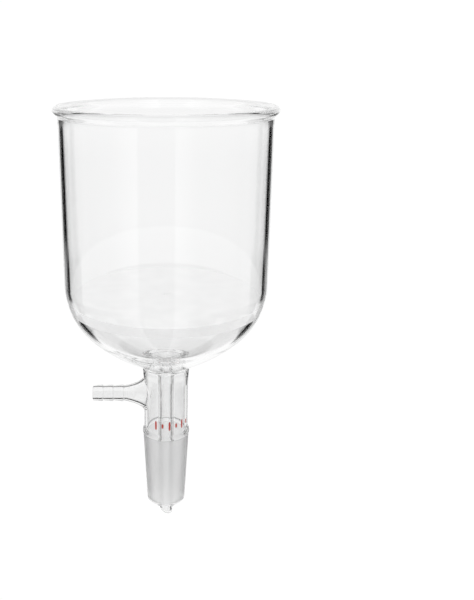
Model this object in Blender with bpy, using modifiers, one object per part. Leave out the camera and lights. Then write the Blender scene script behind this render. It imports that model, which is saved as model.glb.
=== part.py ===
"""Glass filter funnel: bowl with a sintered disc, vacuum side arm and a ground cone joint.

World frame: metres, +Z up. The origin is the centre of the ground cone's large end. +Z runs up
the funnel's axis to the rim, and the side arm points along -X.
"""
import math

import bmesh
import bpy
from mathutils import Euler, Matrix, Vector

MM = 0.001
GAP = 0.3 * MM               # clearance between neighbouring pieces
MERGE = 0.00001
WIDE_STEPS = 48              # facets round the bowl
STEM_STEPS = 36              # facets round the stem and the cone
SMALL_STEPS = 24             # facets round the drip tube and the hose barb

# Bowl
BOWL_RADIUS = 50.3 * MM      # outside of the straight barrel
BOWL_WALL = 2.8 * MM
RIM_Z = 169.2 * MM           # top of the beaded rim
BEAD_RADIUS = 1.9 * MM       # round section of the rim bead
BEAD_CENTRE_RADIUS = 50.8 * MM
FLARE_HEIGHT = 8.0 * MM      # rim down to where the barrel runs straight
SHOULDER_Z = 83.0 * MM       # the barrel ends and the dome begins here
SHOULDER_ARC = 36.0 * MM     # outside radius of the dome's upper arc
SHOULDER_SWEEP = math.radians(47.5)
LOWER_ARC = 99.0 * MM        # outside radius of the dome's lower arc
DISC_TOP_Z = 76.6 * MM
DISC_THICKNESS = 5.0 * MM

# Neck, stem and drip tube
NECK_Z = 39.0 * MM           # underside of the dome
NECK_RADIUS = 12.0 * MM
NECK_BORE = 9.5 * MM
NECK_BULGE = 0.15 * MM       # the fused collar swells this far
RING_BOTTOM_Z = 31.8 * MM
STEM_RADIUS = 11.5 * MM
STEM_WALL = 1.8 * MM
STEM_BOTTOM_Z = 4.0 * MM
DRIP_RADIUS = 4.0 * MM
DRIP_BORE = 2.5 * MM
MOUTH_RADIUS = 9.2 * MM      # flared top of the drip tube, inside the neck
MOUTH_TOP_Z = 40.8 * MM
MOUTH_DEPTH = 9.0 * MM
MOUTH_WALL = 2.4 * MM
TIP_RADIUS = 3.4 * MM
TIP_BORE = 2.1 * MM
TIP_DRAWN_FROM_Z = -41.0 * MM
TIP_LOW_Z = -50.0 * MM       # lowest point of the bevelled tip
TIP_TILT = math.radians(29.0)
TIP_AZIMUTH = math.radians(-40.0)   # side of the tube that hangs lowest

# Ground cone: standard 24/40 inner joint, 24 mm large end, 40 mm long, 1 in 10 on diameter
CONE_RADIUS = 12.0 * MM
CONE_LENGTH = 40.0 * MM
CONE_SLOPE = 0.05            # fall in radius for each unit of length
CONE_WALL = 1.8 * MM
CONE_END_ARC = 1.5 * MM      # fire-polished small end
CONE_MOUTH = 7.5 * MM        # opening at the small end
CONE_SHOULDER = 0.12 * MM    # the clear shoulder stands this far outside the ground zone

# Side arm and hose barb
ARM_Z = 21.7 * MM
ARM_END_AT = 20.6 * MM       # distance from the funnel's axis to the end of the side arm
ARM_RADIUS = 4.2 * MM
ARM_WALL = 1.5 * MM
ARM_ROOT_HEIGHT = 9.2 * MM   # half height where it meets the stem
ARM_ROOT_WIDTH = 7.8 * MM    # half width where it meets the stem
ARM_ROOT_PULL = 0.86         # how far the root hugs the stem before it turns outwards
ARM_NECK_PULL = 5.0 * MM     # length of the straight run before the barb
ARM_NECK_SWELL = 0.7 * MM
ARM_STATIONS = 8
BARB_END_AT = 38.2 * MM
BARB_COUNT = 3
BARB_PITCH = 5.4 * MM
BARB_PEAK = 4.4 * MM
BARB_VALLEY = 3.75 * MM
BARB_STEP = 0.35 * MM        # length of each barb's step back down
BARB_BORE = 2.7 * MM

# Red enamel bars round the stem
BAR_COUNT = 6
BAR_PITCH = math.radians(18.0)
BAR_FIRST = math.radians(-117.0)    # azimuth of the first bar, -90 degrees faces -Y
BAR_Z = 8.3 * MM
BAR_WIDTH = 1.0 * MM
BAR_HEIGHTS = (4.8 * MM, 2.4 * MM)  # tall and short bars in turn
BAR_THICKNESS = 0.25 * MM

CLEAR_GLASS = {"colour": (0.93, 0.95, 0.95, 1.0), "roughness": 0.03, "transmission": 1.0}
SINTERED_GLASS = {"colour": (0.93, 0.93, 0.92, 1.0), "roughness": 0.85, "transmission": 0.0}
GROUND_GLASS = {"colour": (0.80, 0.81, 0.81, 1.0), "roughness": 0.55, "transmission": 0.6}
RED_ENAMEL = {"colour": (0.35, 0.03, 0.03, 1.0), "roughness": 0.35, "transmission": 0.0}
GLASS_IOR = 1.47
SMOOTH_ANGLE = math.radians(35.0)


def new_collection(name):
    """Add a collection to the scene."""
    collection = bpy.data.collections.new(name)
    bpy.context.scene.collection.children.link(collection)
    return collection


def add_object(name, mesh, collection, look=None):
    """Link a mesh as a named object, smooth where it is round, with its own material."""
    mesh.shade_smooth()
    mesh.set_sharp_from_angle(angle=SMOOTH_ANGLE)
    piece = bpy.data.objects.new(name, mesh)
    collection.objects.link(piece)
    if look:
        material = bpy.data.materials.new(f"{name}_material")
        material.use_nodes = True
        shader = material.node_tree.nodes["Principled BSDF"]
        shader.inputs["Base Color"].default_value = look["colour"]
        shader.inputs["Roughness"].default_value = look["roughness"]
        shader.inputs["Metallic"].default_value = 0.0
        shader.inputs["Transmission Weight"].default_value = look["transmission"]
        shader.inputs["IOR"].default_value = GLASS_IOR
        mesh.materials.append(material)
    return piece


def turned(name, profile, steps, collection, look, closed=True):
    """Turn a profile of (radius, z) points about Z. The profile runs down its outer side."""
    vertices = [(radius, 0.0, height) for radius, height in profile]
    edges = [(index, index + 1) for index in range(len(vertices) - 1)]
    if closed:
        edges.append((len(vertices) - 1, 0))
    mesh = bpy.data.meshes.new(name)
    mesh.from_pydata(vertices, edges, [])
    piece = add_object(name, mesh, collection, look)
    screw = piece.modifiers.new("turn", "SCREW")
    screw.axis = "Z"
    screw.angle = math.tau
    screw.steps = steps
    screw.render_steps = steps
    screw.use_merge_vertices = True
    screw.merge_threshold = MERGE
    return piece


def cut_away(piece, cutter):
    """Cut a hidden cutter's shape out of a piece."""
    cutter.hide_render = True
    cutter.display_type = "WIRE"
    boolean = piece.modifiers.new(cutter.name, "BOOLEAN")
    boolean.operation = "DIFFERENCE"
    boolean.solver = "EXACT"
    boolean.object = cutter


def arc(centre, radius, start, end, count):
    """Profile points along an arc, with angles in degrees from +radius towards +Z."""
    points = []
    for index in range(count + 1):
        angle = math.radians(start + (end - start) * index / count)
        points.append((centre[0] + radius * math.cos(angle), centre[1] + radius * math.sin(angle)))
    return points


def dome_side(inset, top_z, bottom_z, count):
    """The dome's side as two tangent arcs, set in from the outside, at even steps of height."""
    upper_radius = SHOULDER_ARC - inset
    lower_radius = LOWER_ARC - inset
    centre_radius = BOWL_RADIUS - SHOULDER_ARC
    shift = LOWER_ARC - SHOULDER_ARC
    lower_centre_radius = centre_radius - shift * math.cos(SHOULDER_SWEEP)
    lower_centre_z = SHOULDER_Z + shift * math.sin(SHOULDER_SWEEP)
    junction_z = SHOULDER_Z - upper_radius * math.sin(SHOULDER_SWEEP)
    points = []
    for index in range(count + 1):
        height = top_z + (bottom_z - top_z) * index / count
        if height >= junction_z:
            reach = math.sqrt(upper_radius ** 2 - (SHOULDER_Z - height) ** 2)
            points.append((centre_radius + reach, height))
        else:
            reach = math.sqrt(lower_radius ** 2 - (lower_centre_z - height) ** 2)
            points.append((lower_centre_radius + reach, height))
    return points


def bowl_barrel(collection):
    """Straight barrel whose wall flares out into a round bead at the rim."""
    bead_centre = (BEAD_CENTRE_RADIUS, RIM_Z - BEAD_RADIUS)
    straight_z = RIM_Z - FLARE_HEIGHT
    bottom_z = SHOULDER_Z + GAP
    bore = BOWL_RADIUS - BOWL_WALL
    bead = arc(bead_centre, BEAD_RADIUS, 165.0, -45.0, 9)
    flare_z = straight_z + 0.4 * FLARE_HEIGHT
    outside = [(BOWL_RADIUS + 0.5 * MM, flare_z), (BOWL_RADIUS, straight_z), (BOWL_RADIUS, bottom_z)]
    inside = [(bore, bottom_z), (bore, straight_z), (bore + 0.4 * MM, flare_z)]
    return turned("bowl_barrel", bead + outside + inside, WIDE_STEPS, collection, CLEAR_GLASS)


def bowl_base(collection):
    """Dome of two arcs, open to the barrel above and to the drip tube below."""
    throat_z = NECK_Z + 2.0 * MM
    outside = dome_side(0.0, SHOULDER_Z, NECK_Z, 12)
    inside = dome_side(BOWL_WALL, SHOULDER_Z, throat_z, 11)
    profile = outside + [(NECK_BORE, NECK_Z), (NECK_BORE, throat_z)] + inside[-2::-1]
    return turned("bowl_base", profile, WIDE_STEPS, collection, CLEAR_GLASS)


def fritted_disc(collection):
    """Sintered plate whose edge follows the start of the dome's curve."""
    bottom_z = DISC_TOP_Z - DISC_THICKNESS
    edge = dome_side(BOWL_WALL + GAP, DISC_TOP_Z, bottom_z, 3)
    profile = [(0.0, DISC_TOP_Z)] + edge + [(0.0, bottom_z)]
    return turned("fritted_disc", profile, WIDE_STEPS, collection, SINTERED_GLASS, closed=False)


def ring_seal(collection):
    """Thick collar that fuses the dome, the drip tube and the stem together."""
    top_z = NECK_Z - GAP
    waist_z = RING_BOTTOM_Z + 2.2 * MM
    outside = [(NECK_RADIUS, top_z), (NECK_RADIUS + NECK_BULGE, (top_z + waist_z) / 2.0),
               (NECK_RADIUS, waist_z), (STEM_RADIUS, RING_BOTTOM_Z)]
    inside = [(NECK_BORE, RING_BOTTOM_Z), (NECK_BORE, top_z)]
    return turned("ring_seal", outside + inside, STEM_STEPS, collection, CLEAR_GLASS)


def mouth_side(radius, top_z, tube_radius, depth, count):
    """Trumpet that runs in level from the mouth's edge and turns down into the tube."""
    points = []
    for index in range(count + 1):
        angle = math.pi / 2.0 * index / count
        points.append((radius - (radius - tube_radius) * math.sin(angle),
                       top_z - depth * (1.0 - math.cos(angle))))
    return points


def drip_tube(collection, cutters):
    """Inner tube with a trumpet mouth under the dome and a drawn, bevelled tip."""
    below_tip_z = TIP_LOW_Z - 2.0 * MM
    outside = mouth_side(MOUTH_RADIUS, MOUTH_TOP_Z - MOUTH_WALL, DRIP_RADIUS, MOUTH_DEPTH, 6)
    outside += [(DRIP_RADIUS, TIP_DRAWN_FROM_Z), (TIP_RADIUS, below_tip_z)]
    inside = mouth_side(MOUTH_RADIUS, MOUTH_TOP_Z, DRIP_BORE, MOUTH_DEPTH + 0.5 * MM, 6)
    profile = outside + [(TIP_BORE, below_tip_z), (DRIP_BORE, TIP_DRAWN_FROM_Z)] + inside[::-1]
    tube = turned("drip_tube", profile, SMALL_STEPS, collection, CLEAR_GLASS)
    cutter_size = 20.0 * MM
    turn = Euler((0.0, TIP_TILT, TIP_AZIMUTH)).to_matrix()
    bevel_centre_z = TIP_LOW_Z + TIP_RADIUS * math.tan(TIP_TILT)
    centre = Vector((0.0, 0.0, bevel_centre_z)) - turn @ Vector((0.0, 0.0, cutter_size / 2.0))
    mesh = bpy.data.meshes.new("tip_bevel")
    block = bmesh.new()
    bmesh.ops.create_cube(block, size=cutter_size)
    block.to_mesh(mesh)
    block.free()
    cutter = add_object("tip_bevel", mesh, cutters)
    cutter.location = centre
    cutter.rotation_euler = turn.to_euler()
    cut_away(tube, cutter)
    return tube


def stem_tube(collection, cutters):
    """Outer stem with an oval port where the side arm opens into it."""
    top_z = RING_BOTTOM_Z - GAP
    bore = STEM_RADIUS - STEM_WALL
    profile = [(STEM_RADIUS, top_z), (STEM_RADIUS, STEM_BOTTOM_Z), (bore, STEM_BOTTOM_Z), (bore, top_z)]
    tube = turned("stem_tube", profile, STEM_STEPS, collection, CLEAR_GLASS)
    mesh = bpy.data.meshes.new("stem_port")
    plug = bmesh.new()
    oval = Matrix.Diagonal((ARM_ROOT_HEIGHT - ARM_WALL, ARM_ROOT_WIDTH - ARM_WALL, 1.0, 1.0))
    bmesh.ops.create_cone(plug, cap_ends=True, segments=SMALL_STEPS, radius1=1.0, radius2=1.0,
                          depth=STEM_RADIUS * 2.0, matrix=oval)
    plug.to_mesh(mesh)
    plug.free()
    port = add_object("stem_port", mesh, cutters)
    port.location = (-STEM_RADIUS * 1.2, 0.0, ARM_Z)
    port.rotation_euler = (0.0, -math.pi / 2.0, 0.0)
    cut_away(tube, port)
    return tube


def on_stem(across, up):
    """Point just off the stem's outside, at a distance across and above the side arm's axis."""
    radius = STEM_RADIUS + GAP
    return Vector((-math.sqrt(radius ** 2 - across ** 2), across, ARM_Z + up))


def arm_ring(inset, along):
    """One ring of the side arm's surface, between its root on the stem (0) and its end (1)."""
    ring = []
    for index in range(SMALL_STEPS):
        angle = math.tau * index / SMALL_STEPS
        across = (ARM_ROOT_WIDTH - inset) * math.cos(angle)
        up = (ARM_ROOT_HEIGHT - inset) * math.sin(angle)
        spoke = Vector((0.0, math.cos(angle), math.sin(angle)))
        axis_point = Vector((-ARM_END_AT, 0.0, ARM_Z))
        root = on_stem(across, up)
        hug = on_stem(across * ARM_ROOT_PULL, up * ARM_ROOT_PULL)
        neck = axis_point + Vector((ARM_NECK_PULL, 0.0, 0.0))
        neck += spoke * (ARM_RADIUS + ARM_NECK_SWELL - inset)
        end = axis_point + spoke * (ARM_RADIUS - inset)
        back = 1.0 - along
        ring.append(back ** 3 * root + 3.0 * back ** 2 * along * hug
                    + 3.0 * back * along ** 2 * neck + along ** 3 * end)
    return ring


def side_arm(collection):
    """Hollow root of the side arm: a loft from an oval saddle on the stem to a round tube end."""
    fractions = [index / ARM_STATIONS for index in range(ARM_STATIONS + 1)]
    rings = [arm_ring(0.0, along) for along in fractions]
    rings += [arm_ring(ARM_WALL, along) for along in reversed(fractions)]
    body = bmesh.new()
    loops = [[body.verts.new(point) for point in ring] for ring in rings]
    for ring_index, loop in enumerate(loops):
        following = loops[(ring_index + 1) % len(loops)]
        for index in range(SMALL_STEPS):
            after = (index + 1) % SMALL_STEPS
            body.faces.new((loop[index], loop[after], following[after], following[index]))
    bmesh.ops.recalc_face_normals(body, faces=body.faces)
    mesh = bpy.data.meshes.new("side_arm")
    body.to_mesh(mesh)
    body.free()
    return add_object("side_arm", mesh, collection, CLEAR_GLASS)


def hose_barb(collection):
    """Serrated hose end, turned along the side arm's axis and laid level."""
    start_at = ARM_END_AT + GAP
    nose = 0.4 * MM
    profile = [(BARB_VALLEY - nose, BARB_END_AT), (BARB_VALLEY, BARB_END_AT - nose)]
    for index in range(BARB_COUNT):
        foot_at = BARB_END_AT - BARB_PITCH * (index + 1)
        profile += [(BARB_PEAK, foot_at + BARB_STEP), (BARB_VALLEY, foot_at)]
    profile += [(ARM_RADIUS, start_at), (BARB_BORE, start_at), (BARB_BORE, BARB_END_AT)]
    barb = turned("hose_barb", profile, SMALL_STEPS, collection, CLEAR_GLASS)
    barb.location = (0.0, 0.0, ARM_Z)
    barb.rotation_euler = (0.0, -math.pi / 2.0, 0.0)
    return barb


def ground_joint(collection):
    """Ground cone with a clear rounded shoulder above it and a fire-polished small end."""
    top_z = STEM_BOTTOM_Z - GAP
    shoulder = CONE_RADIUS + CONE_SHOULDER
    end_z = -CONE_LENGTH - CONE_END_ARC * 0.65
    arc_z = end_z + CONE_END_ARC
    arc_radius = CONE_RADIUS + CONE_SLOPE * arc_z
    outside = [(STEM_RADIUS, top_z), (STEM_RADIUS + 0.35 * MM, 2.9 * MM), (shoulder, 1.4 * MM),
               (shoulder, 0.3 * MM), (CONE_RADIUS, 0.0)]
    outside += arc((arc_radius - CONE_END_ARC, arc_z), CONE_END_ARC, 0.0, -90.0, 4)
    narrow_z = end_z + 4.0 * MM
    inside = [(CONE_MOUTH + 0.3 * MM, end_z), (CONE_MOUTH, end_z + 0.8 * MM),
              (CONE_RADIUS + CONE_SLOPE * narrow_z - CONE_WALL, narrow_z),
              (CONE_RADIUS - CONE_WALL, -0.5 * MM), (STEM_RADIUS - STEM_WALL, top_z)]
    return turned("ground_joint", outside + inside, STEM_STEPS, collection, GROUND_GLASS)


def enamel_bars(collection):
    """Row of thin enamel bars round the front and right of the stem, tall and short in turn."""
    for index in range(BAR_COUNT):
        name = f"enamel_bar_{index + 1}"
        height = BAR_HEIGHTS[index % len(BAR_HEIGHTS)]
        azimuth = BAR_FIRST + BAR_PITCH * index
        mesh = bpy.data.meshes.new(name)
        block = bmesh.new()
        size = Matrix.Diagonal((BAR_THICKNESS, BAR_WIDTH, height, 1.0))
        bmesh.ops.create_cube(block, size=1.0, matrix=size)
        block.to_mesh(mesh)
        block.free()
        bar = add_object(name, mesh, collection, RED_ENAMEL)
        distance = STEM_RADIUS + GAP + BAR_THICKNESS / 2.0
        bar.location = (distance * math.cos(azimuth), distance * math.sin(azimuth), BAR_Z)
        bar.rotation_euler = (0.0, 0.0, azimuth)
        edge = bar.modifiers.new("soft_edge", "BEVEL")
        edge.width = BAR_THICKNESS * 0.4
        edge.segments = 1


def main():
    for leftover in list(bpy.data.objects):
        bpy.data.objects.remove(leftover, do_unlink=True)
    funnel = new_collection("filter_funnel")
    cutters = new_collection("cutters")
    bowl_barrel(funnel)
    fritted_disc(funnel)
    bowl_base(funnel)
    ring_seal(funnel)
    drip_tube(funnel, cutters)
    stem_tube(funnel, cutters)
    side_arm(funnel)
    hose_barb(funnel)
    ground_joint(funnel)
    enamel_bars(funnel)


main()
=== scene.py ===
"""Looks of the glass filter funnel: clear walls, sintered disc, ground cone and enamel bars.

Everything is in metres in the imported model's frame: the origin is the centre of the ground cone's
large end, +Z runs up the funnel's axis to the rim and the side arm points along -X.
"""
import math

import bmesh
import bpy
import numpy as np
from mathutils import Matrix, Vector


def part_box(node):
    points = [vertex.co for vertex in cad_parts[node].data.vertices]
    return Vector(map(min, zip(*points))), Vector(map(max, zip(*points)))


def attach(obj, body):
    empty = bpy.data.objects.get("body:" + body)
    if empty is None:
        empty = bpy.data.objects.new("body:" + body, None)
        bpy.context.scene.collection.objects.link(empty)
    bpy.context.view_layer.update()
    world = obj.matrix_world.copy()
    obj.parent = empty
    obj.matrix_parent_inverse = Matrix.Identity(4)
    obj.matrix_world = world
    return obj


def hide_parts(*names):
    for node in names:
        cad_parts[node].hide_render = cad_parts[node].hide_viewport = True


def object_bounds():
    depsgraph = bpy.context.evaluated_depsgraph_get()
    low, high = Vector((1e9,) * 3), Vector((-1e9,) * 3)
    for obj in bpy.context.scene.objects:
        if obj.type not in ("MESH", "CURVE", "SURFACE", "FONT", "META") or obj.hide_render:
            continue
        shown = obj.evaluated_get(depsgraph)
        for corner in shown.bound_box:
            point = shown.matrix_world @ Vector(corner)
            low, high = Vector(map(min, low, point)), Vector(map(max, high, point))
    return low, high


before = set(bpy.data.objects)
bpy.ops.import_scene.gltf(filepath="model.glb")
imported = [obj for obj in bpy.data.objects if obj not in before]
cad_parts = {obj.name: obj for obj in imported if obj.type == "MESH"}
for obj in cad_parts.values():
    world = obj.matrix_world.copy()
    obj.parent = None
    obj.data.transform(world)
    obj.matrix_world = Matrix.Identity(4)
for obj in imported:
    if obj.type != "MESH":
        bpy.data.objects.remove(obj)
CAD_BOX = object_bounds()

MM = 0.001
MERGE = 0.5e-6               # points closer than this are one point
SMOOTH_ANGLE = math.radians(40.0)
WIDE_SEGMENTS = 384          # round the bowl
STEM_SEGMENTS = 256          # round the stem and the cone
SMALL_SEGMENTS = 128         # round the drip tube and the hose barb


def middle(node_above, node_below):
    """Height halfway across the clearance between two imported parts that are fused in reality."""
    return (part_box(node_above)[0].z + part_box(node_below)[1].z) / 2.0


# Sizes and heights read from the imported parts
BOWL_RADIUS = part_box("bowl_base")[1].x
RIM_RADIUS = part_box("bowl_barrel")[1].x
RIM_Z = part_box("bowl_barrel")[1].z
SHOULDER_Z = middle("bowl_barrel", "bowl_base")
NECK_Z = middle("bowl_base", "ring_seal")
RING_Z = middle("ring_seal", "stem_tube")
STEM_Z = middle("stem_tube", "ground_joint")
STEM_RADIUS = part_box("stem_tube")[1].x
DISC_TOP_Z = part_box("fritted_disc")[1].z
DISC_BOTTOM_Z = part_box("fritted_disc")[0].z
TIP_LOW_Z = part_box("drip_tube")[0].z
JOINT_END_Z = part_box("ground_joint")[0].z
ARM_SEAM_X = (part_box("side_arm")[0].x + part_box("hose_barb")[1].x) / 2.0
ARM_Z = (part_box("side_arm")[0].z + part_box("side_arm")[1].z) / 2.0
ARM_ROOT_HEIGHT = (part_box("side_arm")[1].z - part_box("side_arm")[0].z) / 2.0
ARM_ROOT_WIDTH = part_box("side_arm")[1].y
BARB_END_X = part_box("hose_barb")[0].x

# Bowl
BOWL_WALL = 2.8 * MM
BOWL_BORE = BOWL_RADIUS - BOWL_WALL
BEAD_RADIUS = 1.9 * MM
BEAD_SWEEP = (178.0, -48.0)      # degrees round the bead, from the bore over the top to the outside
FLARE_OUTSIDE = 5.6 * MM         # rim down to where the barrel's outside runs straight
FLARE_INSIDE = 5.8 * MM
SHOULDER_ARC = 36.0 * MM         # outside radius of the dome's upper arc
SHOULDER_SWEEP = math.radians(47.5)
LOWER_ARC = 99.0 * MM            # outside radius of the dome's lower arc
DOME_STEPS = 90
DISC_SINK = 0.08 * MM            # the disc's edge is fused this far into the wall
DISC_SEED = 11
GRAIN = 0.05 * MM

# Neck, where the dome, the drip tube and the stem are fused
NECK_RADIUS = 12.1 * MM
NECK_BORE = 9.5 * MM
NECK_SEAM_RADIUS = 14.4 * MM     # where the outside fillet begins on the dome
NECK_FILLET = 2.2 * MM           # how far the outside fillet runs down from NECK_Z
BRIM_REACH = 2.4 * MM            # fillet between the neck's bore and the underside of the dome
MOUTH_FOOT = 6.5 * MM            # radius where the underside turns down to the drip tube
MOUTH_FOOT_Z = 33.0 * MM         # height where the drip tube's outside runs straight
THROAT_FOOT = 5.0 * MM           # radius where the dome's inside turns down into the drip tube
THROAT_DEPTH = 4.2 * MM          # from there down to where the drip tube's bore runs straight

# Stem, drip tube and cone
STEM_WALL = 1.8 * MM
STEM_BORE = STEM_RADIUS - STEM_WALL
STEM_SWELL = 0.2 * MM            # the stem is this much wider where it meets the collar
STEM_SWELL_LENGTH = 4.0 * MM
DRIP_RADIUS = 4.0 * MM
DRIP_BORE = 2.5 * MM
TIP_RADIUS = 3.4 * MM
TIP_BORE = 2.1 * MM
TIP_ROUND = 0.45 * MM            # fire-polished edge of the tip
TIP_DRAWN_FROM_Z = -41.0 * MM
TIP_TILT = math.radians(29.0)
TIP_AZIMUTH = math.radians(-40.0)
CONE_RADIUS = 12.0 * MM
CONE_SLOPE = 0.05
CONE_WALL = 1.8 * MM
CONE_MOUTH = 7.5 * MM
CONE_SHOULDER = 0.3 * MM         # the clear shoulder stands out this far
CONE_END_ARC = 1.5 * MM
PAINTED_LINE_BAND = 0.35 * MM            # painted dark line: first stretch of the ground zone, darkened to stand in for the shoulder's reflection

# Side arm and hose barb
ARM_RADIUS = 4.2 * MM
ARM_WALL = 1.5 * MM
ARM_ROOT_PULL = 0.86             # how far the root's surface first runs in along the stem
ARM_NECK_PULL = 5.0 * MM
ARM_NECK_SWELL = 0.7 * MM
ARM_STATIONS = 40
PORT_SPREAD = math.radians(62.0)     # half angle of the stem's patch round the side arm's port
PORT_SIDE_STEPS = 32
PORT_TOP_STEPS = 48
PORT_RINGS = 20
BARB_COUNT = 3
BARB_PITCH = 5.4 * MM
BARB_PEAK = 4.4 * MM
BARB_VALLEY = 3.75 * MM
BARB_STEP = 0.35 * MM
BARB_BORE = 2.7 * MM

# Enamel bars
BAR_COUNT = 6
BAR_THICKNESS = 0.12 * MM
BAR_HALF_WIDTH = 0.5 * MM
BAR_STEPS = 16
BAR_SINK = 0.02 * MM             # the bar's edge lies this far inside the stem's surface
BAR_BACK_SINK = 0.03 * MM

# Looks
GLASS, SEAM, GROUND, GROUND_PAINTED_LINE = range(4)    # looks of a glass piece's faces, as material slots, the last one a painted dark line standing in for a reflection
DISC_SHADED_LOOK = 1                    # painted shade: darker look of the disc's edge and underside, as a material slot
GLASS_IOR = 1.47
CLEAR_TINT = (0.982, 0.983, 0.983, 1.0)
GROUND_TONE = 0.88
# Painted shade: tone of the dark line along the top of the ground zone, standing in for the shoulder's
# reflection
PAINTED_LINE_TONE = 0.45
GROUND_ROUGHNESS = (0.42, 0.56)
# Painted shade: tone of the disc's edge and underside, darker than its top
DISC_SHADE_TONE = 0.97


# ---------------------------------------------------------------- materials

def new_material(name):
    """An empty node material."""
    material = bpy.data.materials.new(name)
    material.use_nodes = True
    material.node_tree.nodes.clear()
    return material


def add_node(material, kind, links=(), **values):
    """Add a node, set the named inputs or properties, and link (input name, socket) pairs to it."""
    node = material.node_tree.nodes.new(kind)
    for key, value in values.items():
        name = key.replace("_", " ")
        if hasattr(node, key):
            setattr(node, key, value)
        else:
            node.inputs[name].default_value = value
    for name, socket in links:
        material.node_tree.links.new(socket, node.inputs[name])
    return node


def finish(material, shader):
    """Make the shader the material's surface."""
    add_node(material, "ShaderNodeOutputMaterial", [("Surface", shader.outputs[0])])
    return material


def object_noise(material, scale, detail, stretch=(1.0, 1.0, 1.0)):
    """Noise fixed to the piece, with features of about 1/scale metres, drawn out by stretch."""
    place = add_node(material, "ShaderNodeTexCoord")
    mapping = add_node(material, "ShaderNodeMapping", [("Vector", place.outputs["Object"])],
                       Scale=stretch)
    return add_node(material, "ShaderNodeTexNoise", [("Vector", mapping.outputs["Vector"])],
                    Scale=scale, Detail=detail)


def bumps(material, noise, strength, depth):
    """(input name, socket) pair that gives a shader small bumps from a noise."""
    bump = add_node(material, "ShaderNodeBump", [("Height", noise.outputs[0])],
                    Strength=strength, Distance=depth)
    return "Normal", bump.outputs["Normal"]


def ramp(material, noise, *stops):
    """Colour socket that runs between two (position, colour) stops as the noise rises."""
    node = add_node(material, "ShaderNodeValToRGB", [("Fac", noise.outputs[0])])
    for element, (position, colour) in zip(node.color_ramp.elements, stops):
        element.position = position
        element.color = (*colour, 1.0)
    return node.outputs[0]


def clear_glass():
    """Borosilicate glass with the faint lengthwise waviness of drawn tube."""
    material = new_material("clear_glass")
    waves = object_noise(material, 60.0, 1.0, (1.0, 1.0, 0.12))
    shader = add_node(material, "ShaderNodeBsdfPrincipled", [bumps(material, waves, 0.25, 0.05 * MM)],
                      Base_Color=CLEAR_TINT, Roughness=0.0, IOR=GLASS_IOR, Transmission_Weight=1.0)
    return finish(material, shader)


def seam():
    """Fused joint between two glass pieces: light passes straight through."""
    material = new_material("fused_seam")
    return finish(material, add_node(material, "ShaderNodeBsdfTransparent"))


def ground_glass(name, tone):
    """Ground zone of the cone: fine frosting with faint turning marks."""
    material = new_material(name)
    grain = object_noise(material, 3500.0, 3.0)
    rings = object_noise(material, 500.0, 3.0, (0.15, 0.15, 3.0))
    rough = add_node(material, "ShaderNodeMapRange", [("Value", rings.outputs[0])])
    rough.inputs["To Min"].default_value = GROUND_ROUGHNESS[0]
    rough.inputs["To Max"].default_value = GROUND_ROUGHNESS[1]
    shader = add_node(material, "ShaderNodeBsdfPrincipled",
                      [bumps(material, grain, 0.4, 0.03 * MM), ("Roughness", rough.outputs[0])],
                      Base_Color=(tone, tone, tone, 1.0), IOR=GLASS_IOR, Transmission_Weight=1.0)
    return finish(material, shader)


def sintered_glass(name, tone):
    """White sintered glass: packed grains with shallow pores."""
    material = new_material(name)
    grain = object_noise(material, 2600.0, 4.0)
    patches = object_noise(material, 140.0, 3.0)
    shade = add_node(material, "ShaderNodeMix", data_type="RGBA", blend_type="MULTIPLY")
    shade.inputs[0].default_value = 1.0
    for noise, dark, slot in ((grain, 0.90, 6), (patches, 0.97, 7)):
        colour = ramp(material, noise, (0.35, (dark * tone,) * 3), (0.62, (tone,) * 3))
        material.node_tree.links.new(colour, shade.inputs[slot])
    shader = add_node(material, "ShaderNodeBsdfPrincipled",
                      [("Base Color", shade.outputs[2]), bumps(material, grain, 0.7, 0.12 * MM)],
                      Roughness=0.85, IOR=GLASS_IOR, Specular_IOR_Level=0.3)
    return finish(material, shader)


def red_enamel():
    """Fired red enamel, slightly thin and uneven."""
    material = new_material("red_enamel")
    patches = object_noise(material, 2200.0, 2.0)
    colour = ramp(material, patches, (0.3, (0.30, 0.016, 0.012)), (0.7, (0.55, 0.06, 0.035)))
    shader = add_node(material, "ShaderNodeBsdfPrincipled",
                      [("Base Color", colour), bumps(material, patches, 0.3, 0.05 * MM)],
                      Roughness=0.35)
    return finish(material, shader)


# ---------------------------------------------------------------- mesh building

def grid_faces(rows, columns, start=0):
    """Four-sided faces over a grid of points whose numbers begin at start."""
    index = start + np.arange(rows * columns).reshape(rows, columns)
    corners = [index[:-1, :-1], index[1:, :-1], index[1:, 1:], index[:-1, 1:]]
    return np.stack(corners, axis=-1).reshape(-1, 4)


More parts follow.
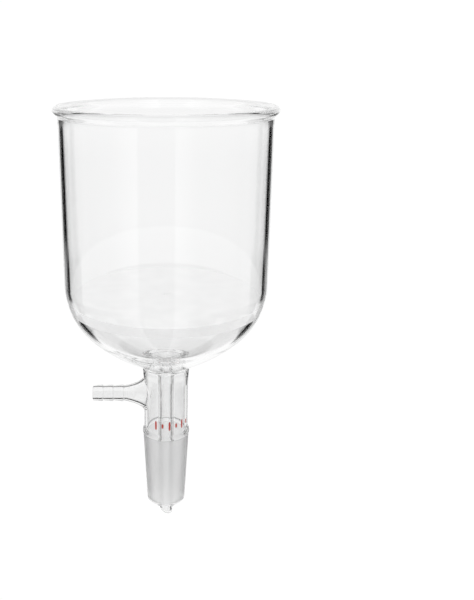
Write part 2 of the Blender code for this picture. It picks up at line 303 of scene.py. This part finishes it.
class Skin:
    """Collects sheets of points into one closed mesh whose faces point outwards."""

    def __init__(self):
        self.points = []
        self.faces = []
        self.looks = []

    def sheet(self, grid, look=GLASS):
        """Add a grid of points, with one look for all of it or one for each row of faces."""
        rows, columns = grid.shape[:2]
        start = sum(len(block) for block in self.points)
        self.points.append(grid.reshape(-1, 3))
        self.faces.append(grid_faces(rows, columns, start))
        looks = np.broadcast_to(np.asarray(look).reshape(-1, 1), (rows - 1, columns - 1))
        self.looks.append(looks.reshape(-1))

    def build(self, name, materials, slot, nodes, turn=None):
        """Make the object, smooth where it is round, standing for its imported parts."""
        mesh = bpy.data.meshes.new(name)
        mesh.from_pydata(np.concatenate(self.points), [], np.concatenate(self.faces))
        for material in materials:
            mesh.materials.append(material)
        mesh.polygons.foreach_set("material_index", np.concatenate(self.looks).astype(np.int32))
        if turn:
            mesh.transform(turn)
        shape = bmesh.new()
        shape.from_mesh(mesh)
        bmesh.ops.remove_doubles(shape, verts=shape.verts, dist=MERGE)
        bmesh.ops.dissolve_degenerate(shape, edges=shape.edges, dist=MERGE)
        bmesh.ops.recalc_face_normals(shape, faces=shape.faces)
        shape.to_mesh(mesh)
        shape.free()
        mesh.shade_smooth()
        mesh.set_sharp_from_angle(angle=SMOOTH_ANGLE)
        piece = bpy.data.objects.new(name, mesh)
        bpy.context.scene.collection.objects.link(piece)
        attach(piece, "root")
        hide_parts(*nodes)
        return piece


class Outline:
    """Outline of a turned piece: (radius, z) points, with a look for each stretch between two."""

    def __init__(self, radius, height):
        self.points = [np.array((radius, height))]
        self.looks = []

    def extend(self, points, look=GLASS):
        """Go on through these points."""
        for point in points:
            if np.abs(np.subtract(point, self.points[-1])).max() > MERGE:
                self.points.append(np.array(point, float))
                self.looks.append(look)
        return self

    def line(self, radius, height, look=GLASS, steps=1):
        """Go straight to a point."""
        start = self.points[-1]
        end = np.array((radius, height))
        return self.extend([start + (end - start) * (i + 1) / steps for i in range(steps)], look)

    def curve(self, leave, arrive, end, look=GLASS, steps=16):
        """Go to the end along a cubic curve with these two handles."""
        start = self.points[-1]
        handles = [np.array(p, float) for p in (start, leave, arrive, end)]
        return self.extend([bezier(handles, (i + 1) / steps) for i in range(steps)], look)

    def arc(self, centre, radius, start, end, look=GLASS, steps=24):
        """Go round an arc, with angles in degrees from +radius towards +Z."""
        return self.extend(arc_points(centre, radius, start, end, steps), look)

    def soft(self, corners, look=GLASS):
        """Go through (radius, z, reach) corners, each rounded over its reach on both sides."""
        stops = [(*self.points[-1], 0.0), *corners]
        for index in range(1, len(stops)):
            here = np.array(stops[index][:2])
            reach = stops[index][2]
            if not reach or index == len(stops) - 1:
                self.line(*here, look)
                continue
            back = np.array(stops[index - 1][:2]) - here
            onward = np.array(stops[index + 1][:2]) - here
            first = here + back / np.linalg.norm(back) * reach
            last = here + onward / np.linalg.norm(onward) * reach
            self.line(*first, look)
            self.curve((first + 2 * here) / 3, (last + 2 * here) / 3, last, look, 10)
        return self

    def close(self, look=GLASS):
        """Go straight back to the first point."""
        return self.line(*self.points[0], look)


def bezier(handles, t):
    """Point on a cubic curve."""
    a, b, c, d = handles
    return a * (1 - t) ** 3 + b * 3 * t * (1 - t) ** 2 + c * 3 * t ** 2 * (1 - t) + d * t ** 3


def arc_points(centre, radius, start, end, steps):
    """Points along an arc, with angles in degrees from +radius towards +Z."""
    angles = np.radians(np.linspace(start, end, steps + 1))
    return [(centre[0] + radius * math.cos(a), centre[1] + radius * math.sin(a)) for a in angles]


def turned(outline, segments):
    """Turn an outline about Z into a skin."""
    profile = np.array(outline.points)
    angles = np.linspace(0.0, math.tau, segments + 1)
    angles[-1] = 0.0
    grid = np.stack([profile[:, :1] * np.cos(angles), profile[:, :1] * np.sin(angles),
                     np.repeat(profile[:, 1:], segments + 1, axis=1)], axis=-1)
    skin = Skin()
    skin.sheet(grid, outline.looks)
    return skin


def dome_radius(inset, height):
    """Radius of the dome's side, set in from the outside, at a height: two arcs that meet smoothly."""
    centre_radius = BOWL_RADIUS - SHOULDER_ARC
    shift = LOWER_ARC - SHOULDER_ARC
    if height >= SHOULDER_Z - (SHOULDER_ARC - inset) * math.sin(SHOULDER_SWEEP):
        reach = math.sqrt((SHOULDER_ARC - inset) ** 2 - (SHOULDER_Z - height) ** 2)
        return centre_radius + reach
    lower_z = SHOULDER_Z + shift * math.sin(SHOULDER_SWEEP)
    reach = math.sqrt((LOWER_ARC - inset) ** 2 - (lower_z - height) ** 2)
    return centre_radius - shift * math.cos(SHOULDER_SWEEP) + reach


def dome_points(inset, top_z, bottom_z, steps):
    """Points down the dome's side, closer together towards the bottom where it runs nearly level."""
    heights = bottom_z + (top_z - bottom_z) * np.linspace(1.0, 0.0, steps + 1) ** 1.3
    return [(dome_radius(inset, height), height) for height in heights]


def dome_height(inset, radius):
    """Height of the dome's lower arc at a radius."""
    shift = LOWER_ARC - SHOULDER_ARC
    centre_radius = BOWL_RADIUS - SHOULDER_ARC - shift * math.cos(SHOULDER_SWEEP)
    lower_z = SHOULDER_Z + shift * math.sin(SHOULDER_SWEEP)
    return lower_z - math.sqrt((LOWER_ARC - inset) ** 2 - (radius - centre_radius) ** 2)


# ---------------------------------------------------------------- glass pieces

THROAT_Z = dome_height(BOWL_WALL, NECK_BORE)              # dome's inside over the neck's bore
BRIM_Z = dome_height(0.0, NECK_BORE) - BRIM_REACH         # top of the neck's open bore


def bowl_barrel(looks):
    """Straight barrel that flares out into a round bead at the rim."""
    bead_centre = (RIM_RADIUS - BEAD_RADIUS, RIM_Z - BEAD_RADIUS)
    bead = np.array(arc_points(bead_centre, BEAD_RADIUS, *BEAD_SWEEP, 56))
    under_bead = bead[-1] - (0.75 * MM, 0.7 * MM)
    outline = Outline(*bead[0]).extend(bead)
    outline.curve(under_bead, (BOWL_RADIUS + 0.03 * MM, RIM_Z - 4.6 * MM),
                  (BOWL_RADIUS, RIM_Z - FLARE_OUTSIDE), steps=24)
    outline.line(BOWL_RADIUS, SHOULDER_Z, steps=24)
    outline.line(BOWL_BORE, SHOULDER_Z, SEAM)
    outline.line(BOWL_BORE, RIM_Z - FLARE_INSIDE, steps=24)
    outline.curve((BOWL_BORE, RIM_Z - 3.8 * MM), bead[0] - (0.0, 1.4 * MM), bead[0], steps=24)
    skin = turned(outline, WIDE_SEGMENTS)
    return skin.build("bowl_barrel_glass", looks, "clear_glass", ["bowl_barrel"])


def bowl_base(looks):
    """Dome under the barrel, open to the drip tube's mouth."""
    outline = Outline(BOWL_RADIUS, SHOULDER_Z)
    outline.extend(dome_points(0.0, SHOULDER_Z, dome_height(0.0, NECK_SEAM_RADIUS), DOME_STEPS))
    outline.line(NECK_BORE, NECK_Z, SEAM)
    inside = dome_points(BOWL_WALL, SHOULDER_Z, THROAT_Z, DOME_STEPS)[::-1]
    outline.line(*inside[0], SEAM)
    outline.extend(inside)
    outline.line(BOWL_BORE, SHOULDER_Z)
    outline.close(SEAM)
    skin = turned(outline, WIDE_SEGMENTS)
    return skin.build("bowl_base_glass", looks, "clear_glass", ["bowl_base"])


def ring_seal(looks):
    """Thick collar that joins the dome, the drip tube's mouth and the stem."""
    top_z = dome_height(0.0, NECK_SEAM_RADIUS)
    stem_top = stem_radius(RING_Z)
    outline = Outline(NECK_SEAM_RADIUS, top_z)
    outline.curve((NECK_SEAM_RADIUS - 1.5 * MM, top_z - 0.72 * MM), (NECK_RADIUS, NECK_Z - 0.4 * MM),
                  (NECK_RADIUS, NECK_Z - NECK_FILLET))
    outline.curve((NECK_RADIUS, RING_Z + 3.5 * MM), (stem_top + 0.1 * MM, RING_Z + 1.6 * MM),
                  (stem_top, RING_Z))
    outline.line(STEM_BORE, RING_Z, SEAM)
    outline.curve((STEM_BORE, RING_Z + 1.0 * MM), (NECK_BORE, RING_Z + 1.6 * MM),
                  (NECK_BORE, RING_Z + 2.8 * MM))
    outline.line(NECK_BORE, BRIM_Z)
    outline.line(NECK_BORE, NECK_Z, SEAM)
    outline.close(SEAM)
    skin = turned(outline, STEM_SEGMENTS)
    return skin.build("ring_seal_glass", looks, "clear_glass", ["ring_seal"])


def drip_tube(looks):
    """Inner tube, with its mouth fused to the neck and a drawn, bevelled, fire-polished tip."""
    brim = NECK_BORE - BRIM_REACH
    half_brim = NECK_BORE - 0.5 * BRIM_REACH
    underside = dome_points(0.0, dome_height(0.0, brim), dome_height(0.0, MOUTH_FOOT), 24)
    outline = Outline(NECK_BORE, BRIM_Z)
    outline.curve((NECK_BORE, BRIM_Z + 0.55 * BRIM_REACH), (half_brim, dome_height(0.0, half_brim)),
                  underside[0])
    outline.extend(underside[1:])
    outline.curve((MOUTH_FOOT - 1.3 * MM, underside[-1][1] - 0.48 * MM),
                  (DRIP_RADIUS, MOUTH_FOOT_Z + 2.2 * MM), (DRIP_RADIUS, MOUTH_FOOT_Z), steps=32)
    outline.line(DRIP_RADIUS, TIP_DRAWN_FROM_Z, steps=16)

    tip_z = TIP_LOW_Z + TIP_RADIUS * math.tan(TIP_TILT)      # the tip's end before it is bevelled
    drawn_z = TIP_DRAWN_FROM_Z - 2.0 * MM
    outline.curve((DRIP_RADIUS, drawn_z), (TIP_RADIUS, tip_z + 3.0 * MM),
                  (TIP_RADIUS, tip_z + TIP_ROUND))
    outline.curve((TIP_RADIUS, tip_z), (TIP_BORE, tip_z), (TIP_BORE, tip_z + TIP_ROUND))
    outline.curve((TIP_BORE, tip_z + 3.0 * MM), (DRIP_BORE, drawn_z), (DRIP_BORE, TIP_DRAWN_FROM_Z))

    throat = dome_points(BOWL_WALL, THROAT_Z, dome_height(BOWL_WALL, THROAT_FOOT), 24)[::-1]
    foot_z = throat[0][1]
    outline.line(DRIP_BORE, foot_z - THROAT_DEPTH, steps=16)
    outline.curve((DRIP_BORE, foot_z - 1.9 * MM), (THROAT_FOOT - 1.4 * MM, foot_z - 0.5 * MM),
                  throat[0], steps=32)
    outline.extend(throat[1:])
    outline.line(NECK_BORE, NECK_Z, SEAM)
    outline.close(SEAM)

    skin = turned(outline, SMALL_SEGMENTS)
    for block in skin.points:
        drawn = np.clip((TIP_DRAWN_FROM_Z - block[:, 2]) / (TIP_DRAWN_FROM_Z - tip_z), 0.0, 1.0)
        across = block[:, 0] * math.cos(TIP_AZIMUTH) + block[:, 1] * math.sin(TIP_AZIMUTH)
        block[:, 2] -= drawn ** 3 * across * math.tan(TIP_TILT)
    return skin.build("drip_tube_glass", looks, "clear_glass", ["drip_tube"])


def stem_radius(height):
    """Outside radius of the stem, which swells a little where it meets the collar."""
    rise = np.clip((height - (RING_Z - STEM_SWELL_LENGTH)) / STEM_SWELL_LENGTH, 0.0, 1.0)
    return STEM_RADIUS + STEM_SWELL * rise * rise * (3.0 - 2.0 * rise)


def port_frame():
    """(angle from -X, height) points round the patch that holds the port."""
    across = np.linspace(-PORT_SPREAD, PORT_SPREAD, PORT_TOP_STEPS + 1)[:-1]
    up = np.linspace(STEM_Z, RING_Z, PORT_SIDE_STEPS + 1)[:-1]
    bottom = [(a, STEM_Z) for a in across]
    right = [(PORT_SPREAD, z) for z in up]
    top = [(-a, RING_Z) for a in across]
    left = [(-PORT_SPREAD, STEM_Z + RING_Z - z) for z in up]
    return np.array(bottom + right + top + left)


def port_turns():
    """Angle round the side arm for each point of the port's frame."""
    angles, heights = port_frame().T
    return np.arctan2((heights - ARM_Z) / ARM_ROOT_HEIGHT, angles * STEM_RADIUS / ARM_ROOT_WIDTH)


def stem_point(radius, angle, height):
    """Point on the stem at an angle from -X, positive towards -Y."""
    return np.stack([-radius * np.cos(angle), -radius * np.sin(angle), height], axis=-1)


def stem_wall(inset, height):
    """Radius of the stem's outside, or of its straight bore once the inset is the wall."""
    return (STEM_RADIUS if inset else stem_radius(height)) - inset


def stem_tube(looks):
    """Stem whose surface runs smoothly round the side arm's oval port."""
    skin = Skin()
    points, turns = port_frame(), port_turns()
    points = np.vstack([points, points[:1]])
    turns = np.append(turns, turns[0])
    share = (np.linspace(0.0, 1.0, PORT_RINGS + 1) ** 1.4)[:, None]
    around = np.linspace(PORT_SPREAD, math.tau - PORT_SPREAD, STEM_SEGMENTS - PORT_TOP_STEPS * 2 + 1)
    heights = np.linspace(RING_Z, STEM_Z, PORT_SIDE_STEPS + 1)
    port_edges = []
    for inset in (0.0, STEM_WALL):
        up = (ARM_ROOT_HEIGHT - min(inset, ARM_WALL)) * np.sin(turns)
        across = (ARM_ROOT_WIDTH - min(inset, ARM_WALL)) * np.cos(turns)
        oval = np.stack([np.arcsin(across / (stem_radius(ARM_Z + up) - inset)), ARM_Z + up], axis=-1)
        spread = oval[None] * (1.0 - share[..., None]) + points[None] * share[..., None]
        angle, height = spread[..., 0], spread[..., 1]
        skin.sheet(stem_point(stem_wall(inset, height), angle, height))
        angle, height = np.meshgrid(around, heights)
        skin.sheet(stem_point(stem_wall(inset, height), angle, height))
        angle, height = oval.T
        port_edges.append(stem_point(stem_wall(inset, height), angle, height))
    skin.sheet(np.stack(port_edges), SEAM)
    across = np.linspace(-PORT_SPREAD, PORT_SPREAD, PORT_TOP_STEPS + 1)
    circle = np.concatenate([across, around[1:]])
    for height in (RING_Z, STEM_Z):
        level = np.full_like(circle, height)
        edges = [stem_point(radius, circle, level) for radius in (stem_radius(height), STEM_BORE)]
        skin.sheet(np.stack(edges), SEAM)
    return skin.build("stem_tube_glass", looks, "clear_glass", ["stem_tube"])


def arm_rings(inset):
    """Rings of the side arm's surface from its root on the stem to its round end."""
    turns = port_turns()
    turns = np.append(turns, turns[0])
    spoke = np.stack([np.zeros_like(turns), -np.cos(turns), np.sin(turns)], axis=-1)

    def on_stem(pull):
        up = (ARM_ROOT_HEIGHT - inset) * np.sin(turns) * pull
        across = (ARM_ROOT_WIDTH - inset) * np.cos(turns) * pull
        radius = STEM_BORE if inset else stem_radius(ARM_Z + up)
        return stem_point(radius, np.arcsin(across / radius), ARM_Z + up)

    end_centre = np.array((ARM_SEAM_X, 0.0, ARM_Z))
    neck = end_centre + (ARM_NECK_PULL, 0.0, 0.0) + spoke * (ARM_RADIUS + ARM_NECK_SWELL - inset)
    handles = [on_stem(1.0), on_stem(ARM_ROOT_PULL), neck, end_centre + spoke * (ARM_RADIUS - inset)]
    return np.stack([bezier(handles, i / ARM_STATIONS) for i in range(ARM_STATIONS + 1)])


def side_arm(looks):
    """Hollow root of the side arm, flowing out of the stem's wall into a round tube."""
    outer, inner = arm_rings(0.0), arm_rings(ARM_WALL)
    skin = Skin()
    skin.sheet(outer)
    skin.sheet(inner)
    skin.sheet(np.stack([outer[0], inner[0]]), SEAM)
    skin.sheet(np.stack([outer[-1], inner[-1]]), SEAM)
    return skin.build("side_arm_glass", looks, "clear_glass", ["side_arm"])


def hose_barb(looks):
    """Serrated hose end with softened edges, turned along the side arm's axis."""
    start, end = -ARM_SEAM_X, -BARB_END_X
    mouth = (BARB_VALLEY + BARB_BORE) / 2.0
    outline = Outline(mouth, end)
    corners = [(BARB_VALLEY, end, 0.4 * MM)]
    for index in range(BARB_COUNT):
        foot = end - BARB_PITCH * (index + 1)
        corners += [(BARB_PEAK, foot + BARB_STEP, 0.24 * MM), (BARB_VALLEY, foot, 0.3 * MM)]
    outline.soft(corners + [(ARM_RADIUS, start + 0.5 * MM, 0.3 * MM), (ARM_RADIUS, start, 0.0)])
    outline.line(ARM_RADIUS - ARM_WALL, start, SEAM)
    outline.soft([(BARB_BORE, end, 0.4 * MM), (mouth, end, 0.0)])
    turn = Matrix.Translation((0.0, 0.0, ARM_Z)) @ Matrix.Rotation(-math.pi / 2.0, 4, "Y")
    skin = turned(outline, SMALL_SEGMENTS)
    return skin.build("hose_barb_glass", looks, "clear_glass", ["hose_barb"], turn)


def ground_joint(looks):
    """Ground cone with a clear rolled shoulder above and a fire-polished small end."""
    shoulder = CONE_RADIUS + CONE_SHOULDER
    ground_end_z = JOINT_END_Z + CONE_END_ARC * 1.1
    outline = Outline(STEM_RADIUS, STEM_Z)
    outline.soft([(STEM_RADIUS, STEM_Z - 0.7 * MM, 0.6 * MM), (shoulder, 1.5 * MM, 0.8 * MM),
                  (shoulder, 0.5 * MM, 0.15 * MM), (CONE_RADIUS, 0.0, 0.0)])
    # Painted dark line: the first stretch of the ground zone takes the dark look, standing in for the
    # reflection at the shoulder
    outline.line(CONE_RADIUS - CONE_SLOPE * PAINTED_LINE_BAND, -PAINTED_LINE_BAND, GROUND_PAINTED_LINE)
    outline.line(CONE_RADIUS + CONE_SLOPE * ground_end_z, ground_end_z, GROUND, steps=40)

    arc_z = JOINT_END_Z + CONE_END_ARC
    arc_centre = (CONE_RADIUS + CONE_SLOPE * arc_z - CONE_END_ARC, arc_z)
    outline.arc(arc_centre, CONE_END_ARC, -3.0, -90.0, steps=20)
    narrow_z = JOINT_END_Z + 5.0 * MM
    narrow = CONE_RADIUS + CONE_SLOPE * narrow_z - CONE_WALL
    outline.soft([(CONE_MOUTH, JOINT_END_Z, 0.8 * MM),
                  (CONE_MOUTH + 0.4 * MM, JOINT_END_Z + 2.0 * MM, 1.0 * MM),
                  (narrow, narrow_z, 1.8 * MM), (CONE_RADIUS - CONE_WALL, -0.5 * MM, 1.5 * MM),
                  (STEM_BORE, STEM_Z - 0.8 * MM, 0.7 * MM), (STEM_BORE, STEM_Z, 0.0)])
    outline.close(SEAM)
    skin = turned(outline, STEM_SEGMENTS)
    return skin.build("ground_joint_glass", looks, "ground_glass", ["ground_joint"])


# ---------------------------------------------------------------- disc and enamel

def fritted_disc(looks):
    """Sintered plate fused into the dome, with a faintly uneven top and bottom."""
    outline = Outline(0.0, DISC_TOP_Z)
    edge = dome_points(BOWL_WALL - DISC_SINK, DISC_TOP_Z, DISC_BOTTOM_Z, 10)
    outline.line(*edge[0], steps=60)
    # Painted shade: the edge and the underside take the darker copy of the sintered look
    outline.extend(edge, DISC_SHADED_LOOK)
    outline.line(0.0, DISC_BOTTOM_Z, DISC_SHADED_LOOK, steps=60)
    skin = turned(outline, WIDE_SEGMENTS)
    rng = np.random.default_rng(DISC_SEED)
    block = skin.points[0]
    rows = len(outline.points)
    lift = rng.normal(0.0, GRAIN, (rows, WIDE_SEGMENTS + 1))
    lift[:, -1] = lift[:, 0]
    lift[[0, rows - 1]] = 0.0                # the two points on the axis stay where they are
    side = np.sign(block[:, 2] - (DISC_TOP_Z + DISC_BOTTOM_Z) / 2.0)
    block[:, 2] -= side * np.abs(lift.reshape(-1)) * 0.5
    return skin.build("fritted_disc_grains", looks, "sintered_glass", ["fritted_disc"])


def enamel_bar(number, look):
    """Thin soft-edged patch of enamel that follows the stem's round surface."""
    low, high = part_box(f"enamel_bar_{number}")
    centre = (low + high) / 2.0
    azimuth = math.atan2(centre.y, centre.x)
    half_height = (high.z - low.z) / 2.0
    s = np.linspace(-1.0, 1.0, BAR_STEPS + 1)
    bulge = 1.0 - np.abs(s) ** 6
    thickness = BAR_THICKNESS * np.sqrt(np.clip(bulge[None, :] * bulge[:, None], 0.0, 1.0))
    rounding = 1.0 - 0.12 * (s[None, :] ** 4) * (s[:, None] ** 4)
    across, up = np.meshgrid(s * BAR_HALF_WIDTH, s * half_height)
    angle = azimuth + across * rounding / STEM_RADIUS
    height = centre.z - up * rounding

    def wall(radius):
        return np.stack([radius * np.cos(angle), radius * np.sin(angle), height], axis=-1)

    front = wall(STEM_RADIUS - BAR_SINK + thickness)
    back = wall(np.full_like(angle, STEM_RADIUS - BAR_BACK_SINK))
    skin = Skin()
    skin.sheet(front)
    skin.sheet(back)
    skin.sheet(np.stack([back[0], front[0]]))
    skin.sheet(np.stack([front[-1], back[-1]]))
    skin.sheet(np.stack([front[:, 0], back[:, 0]], axis=1))
    skin.sheet(np.stack([front[:, -1], back[:, -1]], axis=1))
    return skin.build(f"enamel_bar_{number}_paint", [look], "red_enamel", [f"enamel_bar_{number}"])


# ---------------------------------------------------------------- studio

FLOOR_DROP = 100 * MM            # floor below the tip of the drip tube
SWEEP_RADIUS = 1.3
SWEEP_HEIGHT = 0.9
SWEEP_BEND = 0.3
SWEEP_STEPS = 128
SWEEP_LIGHT = 1.02

# The room round the sweep is white. Light mirrored in the glass also sees dark panels in it, as
# a photographer's black cards give. Elevations and turns are in degrees, and a turn is the angle
# from straight behind or straight in front, so that the panels stand in mirrored pairs.
ROOM_LIGHT = 1.0                 # light on whatever scatters it
FRONT_LIGHT = 0.7                # the room on the camera's side
STRIP_LIGHT = 1.0                # two upright strips of light on that side
LEFT_STRIP = ((-151.5, -150.0), (-118.0, -150.0))      # azimuths a strip's two sides rise over
RIGHT_STRIP = ((171.5, 170.0), (142.0, 171.0))
FLOOR_GREY = 0.88                # what shows straight through the glass from below
FLOOR_FADE = (-12.0, -26.0)
PANEL_SOFT = 1.5                 # half width of a panel's soft edges
CRISP = 1.0                      # the same for the lower rows
HIGH_ROW = (-5.0, 60.0)          # rows of panels, from the elevation of their feet to their tops
UPPER_ROW = (-22.5, -5.0)
UPPER_ROW_FOOT = (-22.5, -16.0)
MIDDLE_ROW = (-30.0, -22.5)
LOWER_ROW = (-42.0, -30.0)
INNER_TOP_ROW = (-15.5, -5.0)
INNER_NEXT_ROW = (-22.5, -15.5)
FRONT_ROW = (12.0, 35.0)
HORIZON = (-5.0, 20.0)
HORIZON_DARK = 0.9
HAZE_RISE = (-38.0, -14.0)       # the haze under the horizon sets in and ends over these ramps
HAZE_FALL = (-3.0, -9.0)
HAZE_DARK = 0.45
SIDE_DARK = 0.6
FRONT_SIDES = (28.0, 36.0)       # turns over which the panels that reach round to the sides set in
MIDDLE_SIDES = (50.0, 54.0)
LOWER_SIDES = (74.0, 80.0)
NADIR = (-58.0, -62.0)           # light mirrored from below this sees dark

CAMERA_BACK = 0.35013            # in front of the funnel's axis
CAMERA_RISE = 0.02703            # above the rim
CAMERA_DIP = math.radians(17.04)
CAMERA_LENS = 44.26              # millimetres, for a sensor 36 mm wide
CAMERA_SHIFT = (0.1183, -0.05)
LIGHT_BOUNCES = 256              # clear walls seen edge on need this many


def lit_sweep():
    """Even light, left out of lamp sampling because glass blocks it anyway."""
    material = new_material("lit_sweep")
    shader = add_node(material, "ShaderNodeEmission", Color=(1.0, 1.0, 1.0, 1.0), Strength=SWEEP_LIGHT)
    material.cycles.emission_sampling = "NONE"
    return finish(material, shader)


def sweep():
    """Plain white floor that bends up into a round wall."""
    floor_z = CAD_BOX[0].z - FLOOR_DROP
    flat_radius = SWEEP_RADIUS - SWEEP_BEND
    path = [(radius, floor_z) for radius in np.linspace(0.0, flat_radius, 12)[:-1]]
    path += arc_points((flat_radius, floor_z + SWEEP_BEND), SWEEP_BEND, -90.0, 0.0, 16)
    path = np.array(path + [(SWEEP_RADIUS, floor_z + SWEEP_HEIGHT)])
    azimuth = np.linspace(0.0, math.tau, SWEEP_STEPS + 1)
    grid = np.stack([path[:, :1] * np.sin(azimuth), path[:, :1] * np.cos(azimuth),
                     np.repeat(path[:, 1:], SWEEP_STEPS + 1, axis=1)], axis=-1)
    mesh = bpy.data.meshes.new("studio_floor")
    mesh.from_pydata(grid.reshape(-1, 3), [], grid_faces(len(path), SWEEP_STEPS + 1))
    mesh.materials.append(lit_sweep())
    floor = bpy.data.objects.new("studio_floor", mesh)
    bpy.context.scene.collection.objects.link(floor)
    floor.visible_glossy = False
    floor.visible_transmission = False


class Maths:
    """Writes sums as nodes of one world. Each value is a socket or a plain number."""

    def __init__(self, world):
        self.world = world

    def feed(self, node, slots):
        """Set or link the numbered inputs of a node, and return its first output."""
        for slot, value in slots:
            if isinstance(value, (int, float)):
                node.inputs[slot].default_value = value
            else:
                self.world.node_tree.links.new(value, node.inputs[slot])
        return node.outputs[0]

    def combine(self, operation, first, second=0.0, clamp=False):
        """One operation of the Math node."""
        node = add_node(self.world, "ShaderNodeMath", operation=operation, use_clamp=clamp)
        return self.feed(node, enumerate((first, second)))

    def times(self, first, *others):
        """All the values multiplied together."""
        for other in others:
            first = self.combine("MULTIPLY", first, other)
        return first

    def blend(self, share, low, high):
        """Go from low to high as the share goes from 0 to 1."""
        node = add_node(self.world, "ShaderNodeMix", data_type="FLOAT")
        return self.feed(node, ((0, share), (2, low), (3, high)))

    def step(self, value, start, end):
        """Soft ramp from 0 to 1 as the value goes from start to end, in either order."""
        node = add_node(self.world, "ShaderNodeMapRange", [("Value", value)],
                        interpolation_type="SMOOTHSTEP")
        node.inputs["From Min"].default_value = start
        node.inputs["From Max"].default_value = end
        return node.outputs[0]

    def between(self, value, low, high, soft=PANEL_SOFT):
        """1 while the value is between low and high, with soft edges, and 0 elsewhere."""
        return self.times(self.step(value, low - soft, low + soft),
                          self.step(value, high + soft, high - soft))

    def without(self, light, *dark_shapes):
        """Light left over once every dark shape has been taken out of it."""
        for dark in dark_shapes:
            light = self.times(light, self.combine("SUBTRACT", 1.0, dark))
        return light


def studio_light():
    """White room light with dark panels that show only in what the glass mirrors."""
    world = bpy.data.worlds.new("studio")
    world.use_nodes = True
    world.cycles.sampling_method = "NONE"
    background = world.node_tree.nodes["Background"]
    background.inputs["Color"].default_value = (1.0, 1.0, 1.0, 1.0)
    place = add_node(world, "ShaderNodeTexCoord")
    split = add_node(world, "ShaderNodeSeparateXYZ", [("Vector", place.outputs["Generated"])])
    x, y, z = split.outputs
    maths = Maths(world)
    azimuth = maths.times(maths.combine("ARCTAN2", x, y), 180.0 / math.pi)
    elevation = maths.times(maths.combine("ARCSINE", z), 180.0 / math.pi)
    turn = maths.combine("ARCTAN2", maths.combine("ABSOLUTE", x), maths.combine("ABSOLUTE", y))
    turn = maths.times(turn, 180.0 / math.pi)
    behind = maths.step(y, -0.1, 0.1)

    def panel(row, turn_from, turn_to, soft=PANEL_SOFT):
        """Dark pair of panels that fill a row of elevations between two turns."""
        return maths.times(maths.between(elevation, *row, soft),
                           maths.between(turn, turn_from, turn_to))

    # Light mirrored inside the glass, or after it has passed through some of it
    horizon = maths.times(maths.between(elevation, *HORIZON), HORIZON_DARK)
    haze = maths.times(maths.step(elevation, *HAZE_RISE), maths.step(elevation, *HAZE_FALL),
                       HAZE_DARK)
    middle_sides = maths.times(maths.between(elevation, *MIDDLE_ROW, CRISP),
                               maths.step(turn, *MIDDLE_SIDES))
    lower_sides = maths.times(maths.between(elevation, *LOWER_ROW, CRISP),
                              maths.step(turn, *LOWER_SIDES), SIDE_DARK)
    inner = maths.without(1.0,
                          horizon,
                          haze,
                          maths.times(panel(INNER_TOP_ROW, 21.0, 37.0), behind),
                          maths.times(panel(INNER_NEXT_ROW, 30.0, 41.0), behind),
                          middle_sides,
                          panel(LOWER_ROW, 27.0, 63.0, CRISP),
                          lower_sides,
                          maths.step(elevation, *NADIR))

    # Light mirrored off the outside, from the room in front and from the room behind
    left, right = (maths.times(maths.step(azimuth, *outer_side), maths.step(azimuth, *inner_side))
                   for outer_side, inner_side in (LEFT_STRIP, RIGHT_STRIP))
    strips = maths.times(maths.combine("ADD", left, right, clamp=True), STRIP_LIGHT)
    front_panel = maths.times(maths.between(elevation, *FRONT_ROW), maths.step(turn, *FRONT_SIDES))
    front = maths.combine("ADD", strips, maths.without(FRONT_LIGHT, front_panel))
    beyond = maths.without(1.0,
                           panel(HIGH_ROW, 46.0, 78.0),
                           panel(UPPER_ROW, 26.0, 46.0),
                           panel(UPPER_ROW_FOOT, 46.0, 75.0),
                           panel(MIDDLE_ROW, 25.0, 45.0),
                           panel(LOWER_ROW, 27.0, 58.0, CRISP))
    outer = maths.blend(behind, front, beyond)

    path = add_node(world, "ShaderNodeLightPath")
    mirrored, inside, scattered = (maths.combine("MINIMUM", path.outputs[f"{kind} Depth"], 1.0)
                                   for kind in ("Glossy", "Transmission", "Diffuse"))
    straight = maths.blend(maths.step(elevation, *FLOOR_FADE), 1.0, FLOOR_GREY)
    light = maths.blend(mirrored, straight, maths.blend(inside, outer, inner))
    light = maths.blend(scattered, light, ROOM_LIGHT)
    world.node_tree.links.new(light, background.inputs["Strength"])
    bpy.context.scene.world = world


def camera():
    """Camera a little above the rim, close to the funnel."""
    data = bpy.data.cameras.new("camera")
    data.sensor_width = 36.0
    data.lens = CAMERA_LENS
    data.shift_x, data.shift_y = CAMERA_SHIFT
    data.clip_start = 0.01
    view = bpy.data.objects.new("camera", data)
    view.location = (0.0, -CAMERA_BACK, RIM_Z + CAMERA_RISE)
    view.rotation_euler = (math.pi / 2.0 - CAMERA_DIP, 0.0, 0.0)
    bpy.context.scene.collection.objects.link(view)
    bpy.context.scene.camera = view


def main():
    scene = bpy.context.scene
    scene.view_settings.view_transform = "Standard"
    scene.cycles.max_bounces = LIGHT_BOUNCES
    scene.cycles.transmission_bounces = LIGHT_BOUNCES
    scene.cycles.glossy_bounces = LIGHT_BOUNCES
    scene.cycles.diffuse_bounces = 16
    scene.cycles.transparent_max_bounces = 64
    scene.cycles.blur_glossy = 0.0
    clear = [clear_glass(), seam()]
    bowl_barrel(clear)
    bowl_base(clear)
    ring_seal(clear)
    drip_tube(clear)
    stem_tube(clear)
    side_arm(clear)
    hose_barb(clear)
    ground_joint(clear + [ground_glass("ground_glass", GROUND_TONE),
                          ground_glass("ground_painted_line", PAINTED_LINE_TONE)])
    fritted_disc([sintered_glass("sintered_glass", 1.0),
                  sintered_glass("sintered_painted_shade", DISC_SHADE_TONE)])
    enamel = red_enamel()
    for number in range(1, BAR_COUNT + 1):
        enamel_bar(number, enamel)
    camera()
    sweep()
    studio_light()


main()
